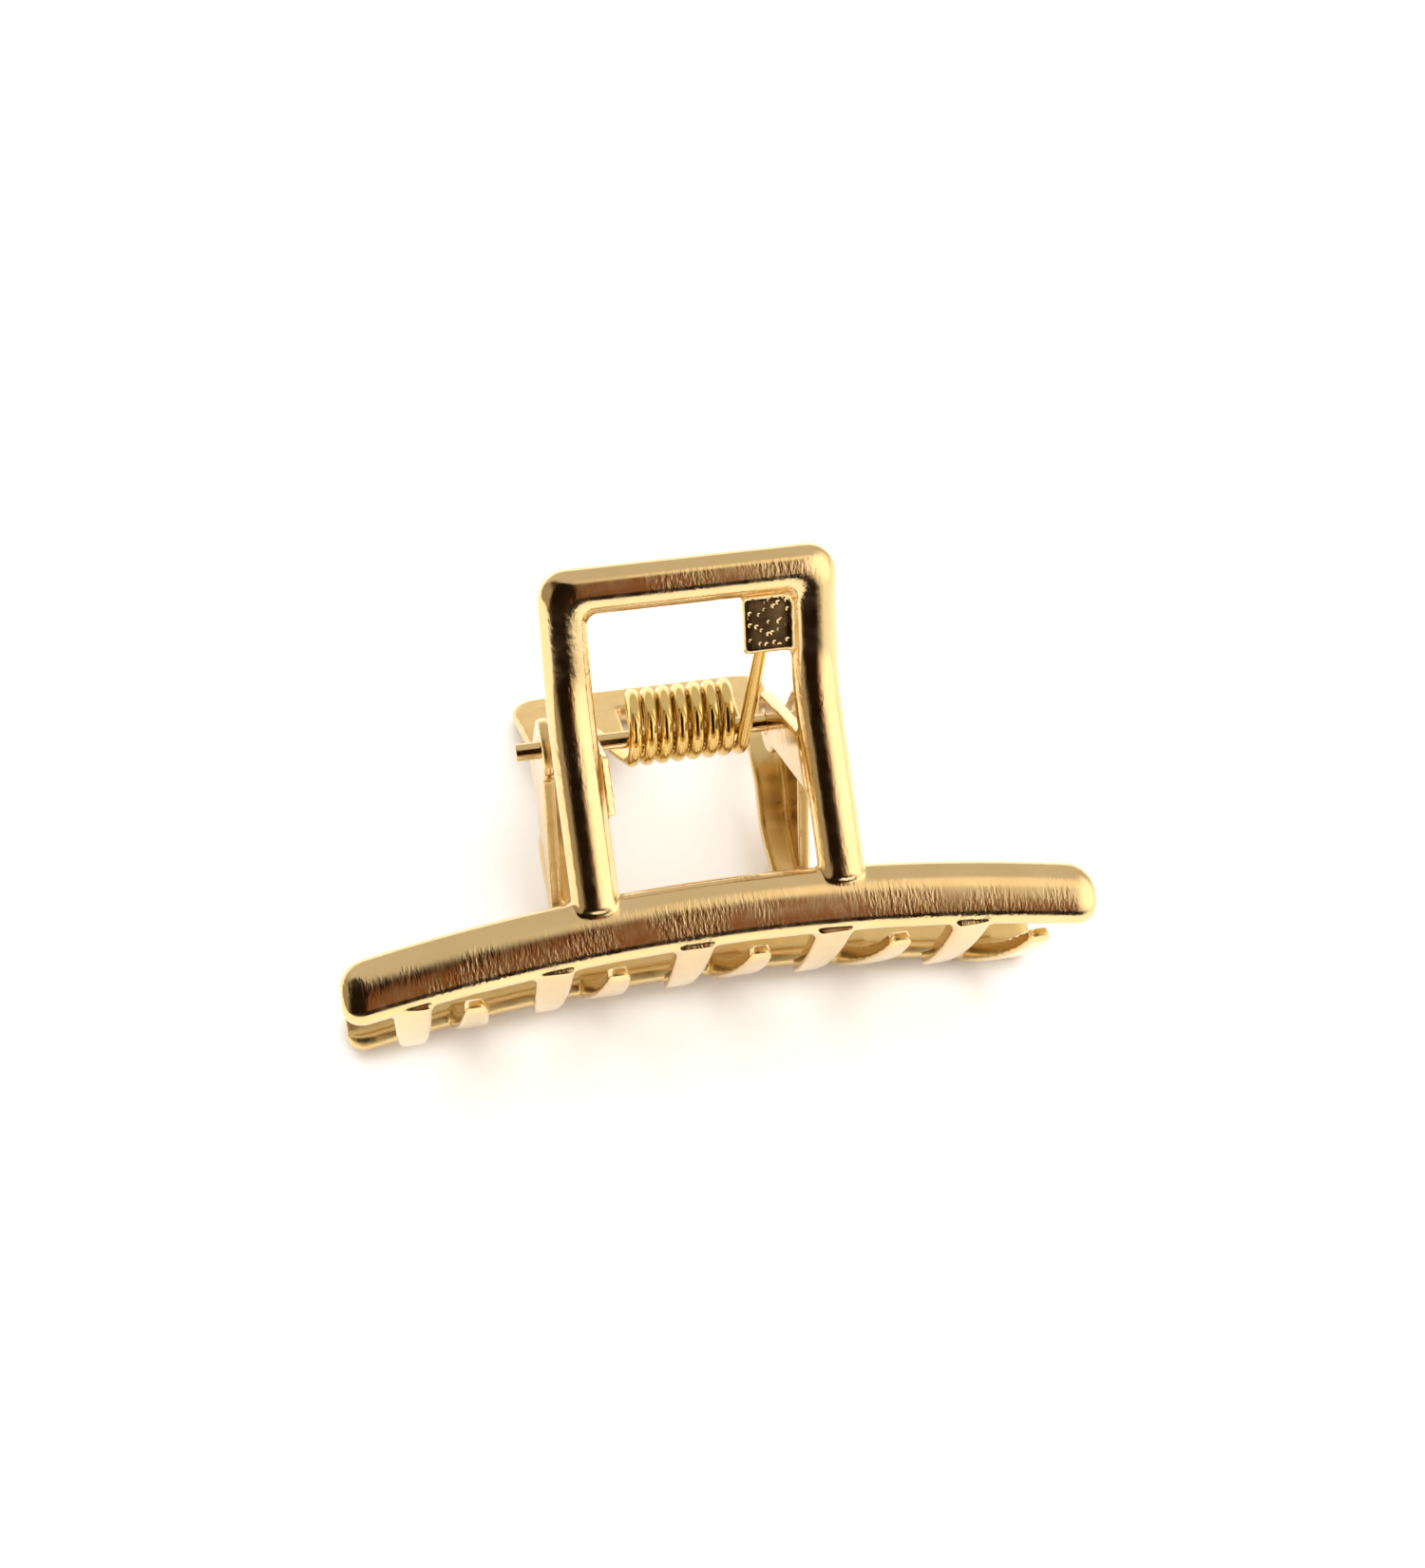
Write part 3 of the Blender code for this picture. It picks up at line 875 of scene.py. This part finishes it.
@dataclass
class Pin:
    """The hinge pin, bevelled at its left end and peened at its right end."""

    radius: float = 0.56 * MM
    left: float = -10.3 * MM
    right: float = 9.35 * MM
    head_radius: float = 0.9 * MM
    head_length: float = 0.4 * MM
    bevel: float = 0.09 * MM

    def turn(self) -> bpy.types.Object:
        """Build the pin.

        Returns:
            The pin in the clip's frame.
        """
        pin = Bench.rod(self.radius, self.left, self.right - self.head_length, 48)
        bpy.ops.object.mode_set(mode="EDIT")
        bpy.ops.mesh.select_mode(type="FACE")
        bpy.ops.mesh.select_all(action="DESELECT")
        bpy.ops.object.mode_set(mode="OBJECT")
        for face in pin.data.polygons:
            face.select = face.normal.x > 0.9
        bpy.ops.object.mode_set(mode="EDIT")
        grow = self.head_radius / self.radius
        bpy.ops.mesh.extrude_region_move()
        bpy.ops.transform.resize(value=(1.0, grow, grow))
        bpy.ops.mesh.extrude_region_move(
            TRANSFORM_OT_translate={"value": (self.head_length * 0.7, 0.0, 0.0)})
        bpy.ops.mesh.extrude_region_move(
            TRANSFORM_OT_translate={"value": (self.head_length * 0.3, 0.0, 0.0)})
        bpy.ops.transform.resize(value=(1.0, 0.7, 0.7))
        bpy.ops.mesh.select_all(action="SELECT")
        bpy.ops.mesh.normals_make_consistent(inside=False)
        bpy.ops.object.mode_set(mode="OBJECT")
        Bench.apply(pin, "BEVEL", width=self.bevel, segments=4, limit_method="ANGLE",
                    angle_limit=math.radians(30.0))
        Bench.smooth(pin, math.radians(40.0))
        pin.name = "pin"
        return pin


@dataclass
class Spring:
    """The torsion spring: rear leg, close coil and front leg in one wire."""

    front: Jaw
    rear: Jaw
    wire: float = 0.43 * MM
    coil: float = 2.08 * MM
    turns: int = 7
    pitch: float = 1.0 * MM
    left: float = -3.0 * MM
    lift: float = 0.7 * MM
    end_x: float = 4.9 * MM
    end_gap: float = 0.3 * MM

    def leg_end(self, jaw: Jaw) -> tuple[float, float]:
        """Find where a leg ends.

        Args:
            jaw: The jaw whose pad it rests on.

        Returns:
            T and S of the end, behind the pad.
        """
        depth = -jaw.band_back - self.end_gap - self.wire
        t, s = jaw.view.at(jaw.band_width + jaw.pad_height * 0.6, depth)
        return (t, s) if jaw.side is Side.FRONT else (-t, s)

    def leg_angle(self, jaw: Jaw) -> float:
        """Find where a leg leaves the coil.

        Args:
            jaw: The jaw that the leg runs to.

        Returns:
            The angle from the coil's lowest point.
        """
        t, s = self.leg_end(jaw)
        rise = s - self.lift
        return math.atan2(rise, abs(t)) + math.asin(self.coil / math.hypot(t, rise))

    def route(self) -> list[Vector]:
        """Trace the wire: rear leg, coil and front leg.

        Returns:
            The points of its middle line.
        """
        first = -self.leg_angle(self.rear)
        last = self.turns * 2.0 * math.pi + self.leg_angle(self.front)
        turn_steps = 44
        coil_steps = turn_steps * self.turns
        coil = []
        for step in range(coil_steps + 1):
            angle = first + (last - first) * step / coil_steps
            x = self.left + self.pitch * (angle - first) / (2.0 * math.pi)
            coil.append(Vector((x, -self.coil * math.sin(angle),
                                self.lift - self.coil * math.cos(angle))))
        start = Vector((-self.end_x, *self.leg_end(self.rear)))
        end = Vector((self.end_x, *self.leg_end(self.front)))
        leg_steps = 12
        lead = [start.lerp(coil[0], step / leg_steps) for step in range(leg_steps)]
        tail = [coil[-1].lerp(end, step / leg_steps) for step in range(1, leg_steps + 1)]
        return lead + coil + tail

    def wind(self) -> bpy.types.Object:
        """Build the spring.

        Returns:
            The closed wire in the clip's frame.
        """
        route = self.route()
        sides = 18
        frames = []
        side = Vector((1.0, 0.0, 0.0))
        for index, point in enumerate(route):
            before = route[max(index - 1, 0)]
            after = route[min(index + 1, len(route) - 1)]
            tangent = (after - before).normalized()
            side = (side - tangent * side.dot(tangent)).normalized()
            frames.append((point, side, tangent.cross(side)))

        def place(column: int, row: int) -> Vector:
            """Put one grid point on the wire.

            Args:
                column: How far round the wire.
                row: How far along it.

            Returns:
                The point in the clip's frame.
            """
            middle, across, up = frames[row]
            angle = 2.0 * math.pi * column / sides
            return middle + (across * math.cos(angle) + up * math.sin(angle)) * self.wire

        spring = Bench.wrap(sides, len(route) - 1, place)
        Bench.smooth(spring, math.radians(50.0))
        spring.name = "spring"
        return spring


@dataclass(frozen=True)
class Card:
    """A part of the studio that isn't the room's own tone, as an oval of directions."""

    centre: tuple[float, float, float]
    half: tuple[float, float, float]
    colour: str
    level: float = 1.0
    edge: float = 0.3


@dataclass
class Studio:
    """Floor, surroundings, lights and camera."""

    to_row: Matrix
    room: str = "#fff8ef"
    room_level: float = 0.72
    floor_size: float = 3.0
    lamp_size: float = 1.6
    lamp_power: float = 17.5
    lamp_place: tuple[float, float, float] = (0.0, 0.15, 1.0)
    view_turn: tuple[float, float, float] = (-9.78, -11.2, -9.18)
    view_offset: tuple[float, float, float] = (2.44 * MM, -3.24 * MM, 143.96 * MM)
    lens: float = 51.48
    cards: tuple[Card, ...] = (
        # The dark side of the room, behind the camera and to its left.
        Card((-0.648, -0.559, 0.518), (0.90, 0.90, 0.90), "#21140c", 1.0, 0.07),
        # Brown dusk between the dark side and the window.
        Card((0.155, -0.62, 0.55), (0.085, 0.55, 0.6), "#8a5a3c", 1.0, 0.14),
        # A pale wall at the far left.
        Card((-1.0, 0.0, 0.25), (0.42, 0.75, 0.6), "#e8d8c0", 0.55, 0.3),
        # The dark edge of the table, low in front.
        Card((-0.05, -1.0, 0.12), (0.52, 0.5, 0.2), "#1c110b", 1.0, 0.3),
        # The lamp overhead, to the right.
        Card((0.30, -0.06, 0.95), (0.17, 0.20, 0.3), "#fff0dc", 1.25, 0.4),
        # The window at the right.
        Card((0.88, -0.35, 0.5), (0.66, 0.62, 0.55), "#fffaf2", 1.75, 0.32),
    )

    def surroundings(self) -> None:
        """Light the room: pale above and behind, dark where the clip faces."""
        world = bpy.data.worlds.new("studio")
        bpy.context.scene.world = world
        world.use_nodes = True
        tree = world.node_tree
        shader = tree.nodes["Background"]
        place = add_node(tree, "ShaderNodeTexCoord", {})
        first = add_node(tree, "ShaderNodeRGB", {})
        first.outputs[0].default_value = [v * self.room_level for v in linear(self.room)]
        last = (first, 0)
        for card in self.cards:
            offset = add_node(tree, "ShaderNodeVectorMath",
                              {0: (place, "Generated"), 1: card.centre}, operation="SUBTRACT")
            scaled = add_node(tree, "ShaderNodeVectorMath",
                              {0: (offset, 0), 1: card.half}, operation="DIVIDE")
            length = add_node(tree, "ShaderNodeVectorMath", {0: (scaled, 0)}, operation="LENGTH")
            share = add_node(tree, "ShaderNodeMapRange",
                             {"Value": (length, "Value"), "From Min": 1.0 - card.edge,
                              "From Max": 1.0 + card.edge, "To Min": 1.0, "To Max": 0.0},
                             interpolation_type="SMOOTHSTEP")
            colour = [v * card.level for v in linear(card.colour)]
            mix = add_node(tree, "ShaderNodeMix", {0: (share, 0), 6: last, 7: colour},
                           data_type="RGBA")
            last = (mix, 2)
        tree.links.new(last[0].outputs[last[1]], shader.inputs["Color"])

    def floor(self) -> None:
        """Lay the pale floor that the clip lies on."""
        Bench.clear()
        bpy.ops.mesh.primitive_plane_add(size=self.floor_size)
        floor = bpy.context.object
        floor.name = "floor"
        # Uncoated card: even, pale and without any shine.
        material = bpy.data.materials.new("matt_white_card")
        material.use_nodes = True
        shader = material.node_tree.nodes["Principled BSDF"]
        shader.inputs["Base Color"].default_value = linear("#fbfaf8")
        shader.inputs["Roughness"].default_value = 0.9
        floor.data.materials.append(material)

    def lamp(self) -> None:
        """Hang the wide softbox over the table; it lifts the floor and shows in no metal."""
        data = bpy.data.lights.new("softbox", "AREA")
        data.size = self.lamp_size
        data.energy = self.lamp_power
        lamp = bpy.data.objects.new("softbox", data)
        bpy.context.scene.collection.objects.link(lamp)
        lamp.location = self.lamp_place
        lamp.visible_glossy = False

    def camera(self) -> None:
        """Aim the camera; its turn is measured in the clip's own frame, in degrees."""
        azimuth, elevation, roll = (math.radians(v) for v in self.view_turn)
        towards = Vector((math.sin(azimuth) * math.cos(elevation),
                          -math.cos(azimuth) * math.cos(elevation), math.sin(elevation)))
        right = Vector((math.cos(azimuth), math.sin(azimuth), 0.0))
        up = towards.cross(right)
        level = right * math.cos(roll) + up * math.sin(roll)
        upright = up * math.cos(roll) - right * math.sin(roll)
        across, over, away = self.view_offset
        matrix = Matrix((level, upright, towards)).transposed().to_4x4()
        matrix.translation = towards * away + level * across + upright * over
        data = bpy.data.cameras.new("camera")
        data.sensor_width = 36.0
        data.lens = self.lens
        data.clip_start = 0.005
        camera = bpy.data.objects.new("camera", data)
        bpy.context.scene.collection.objects.link(camera)
        camera.matrix_world = self.to_row @ matrix
        bpy.context.scene.camera = camera

    def build(self) -> None:
        """Set up the whole studio."""
        self.surroundings()
        self.floor()
        self.lamp()
        self.camera()
        bpy.context.scene.view_settings.view_transform = "Standard"


FRONT_WEB = (0.55, 0.72)
REAR_WEB = (0.36, 0.85)
FRONT_PAD = 3.2 * MM
REAR_PAD = 4.6 * MM
REAR_LEAN = (-0.5 * MM, 0.03)
FRONT_PROFILE = SideProfile(((-14.8 * MM, 7.05 * MM, 0.0, 1.0), (-9.6 * MM, 0.2 * MM, 0.0, 1.0),
                             (-7.95 * MM, -12.4 * MM, 0.0, 1.0)), bend_radius=9.0 * MM)
REAR_PROFILE = SideProfile(((-14.5 * MM, 6.6 * MM, 0.15 * MM, 1.0),
                            (-6.6 * MM, -0.9 * MM, -0.9 * MM, 0.72),
                            (-8.7 * MM, -4.8 * MM, 0.0, 1.0),
                            (-7.2 * MM, -12.6 * MM, -0.2 * MM, 0.8)))
FRONT_LUGS = ((-6.4 * MM, -5.6 * MM), (5.95 * MM, 6.75 * MM))
REAR_LUGS = ((-8.8 * MM, -8.0 * MM), (8.0 * MM, 8.8 * MM))


def clip_to_row(frame: dict) -> Matrix:
    """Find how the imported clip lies.


    Returns:
        The matrix from the clip's own frame to the row's frame.
    """
    record = frame["record"]
    pad = next(mount for mount in record["mounts"] if mount["name"] == "front_pad_face")
    end, bend = (Vector(corner[:2]) for corner in FRONT_PROFILE.corners[:2])
    run = bend - end
    lean = math.atan2(pad["axis"][2], pad["axis"][1]) - math.atan2(-run.x, run.y)
    hinge = next(joint for joint in record["behaviour"]["joints"] if joint["name"] == "jaw_hinge")
    return Matrix.Translation(hinge["pos_m"]) @ Matrix.Rotation(lean, 4, "X")


def place_piece(piece: bpy.types.Object, matrix: Matrix, node: str) -> None:
    """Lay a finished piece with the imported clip.

    Args:
        piece: The piece, in the clip's frame.
        matrix: Where it goes.
        node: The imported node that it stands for.
    """
    piece.data.transform(matrix)
    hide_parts(node)
    LOG.info("%s: %d faces", piece.name, len(piece.data.polygons))


def main() -> None:
    """Build the clip's four pieces and the studio."""
    logging.basicConfig(level=logging.INFO, format="%(name)s: %(message)s")
    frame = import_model()
    to_row = clip_to_row(frame)
    turned = Matrix.Rotation(math.pi, 4, "Z")

    front = Jaw(Side.FRONT, FRONT_PROFILE, FRONT_WEB, FRONT_LUGS, FRONT_PAD)
    rear = Jaw(Side.REAR, REAR_PROFILE, REAR_WEB, REAR_LUGS, REAR_PAD, tooth_lean=REAR_LEAN)
    # No wheel reaches the inner faces, so they keep a casting's soft, rippled shine.
    satin = PlatedGold("gold_plated_casting_inner_face", colour="#ecd196", worn="#dcb873",
                       roughness=(0.26, 0.42), hatch_depth=0.0, ripple_depth=0.02 * MM)
    # The pad's face is grained: dark in the middle, with small bright specks.
    grained = PlatedGold("gold_plated_casting_grained_pad", hatch_depth=0.0, pit=0.42 * MM)
    front_casting = front.cast()
    front.dress(front_casting, PlatedGold("gold_plated_zinc_casting_front"), satin, grained)
    place_piece(front_casting, to_row, "front_jaw")
    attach(front_casting, "front_jaw_body")
    rear_casting = rear.cast()
    rear.dress(rear_casting, PlatedGold("gold_plated_zinc_casting_rear"), satin, grained)
    place_piece(rear_casting, to_row @ turned, "rear_jaw")
    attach(rear_casting, "rear_jaw_body")
    pin = Pin().turn()
    # Turned and drawn metal has no wheel marks, so the pin and the wire are plain and bright.
    pin.data.materials.append(PlatedGold("gold_plated_steel_pin", hatch_depth=0.0).build())
    place_piece(pin, to_row, "hinge_pin")
    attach(pin, "rear_jaw_body")
    coil = Spring(front, rear)
    spring = coil.wind()
    spring.data.materials.append(PlatedGold("gold_plated_spring_wire", colour="#f0d590",
                                            worn="#e4c274", hatch_depth=0.0).build())
    place_piece(spring, to_row, "torsion_spring")
    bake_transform(spring)

    Studio(to_row).build()


if __name__ == "__main__":
    main()
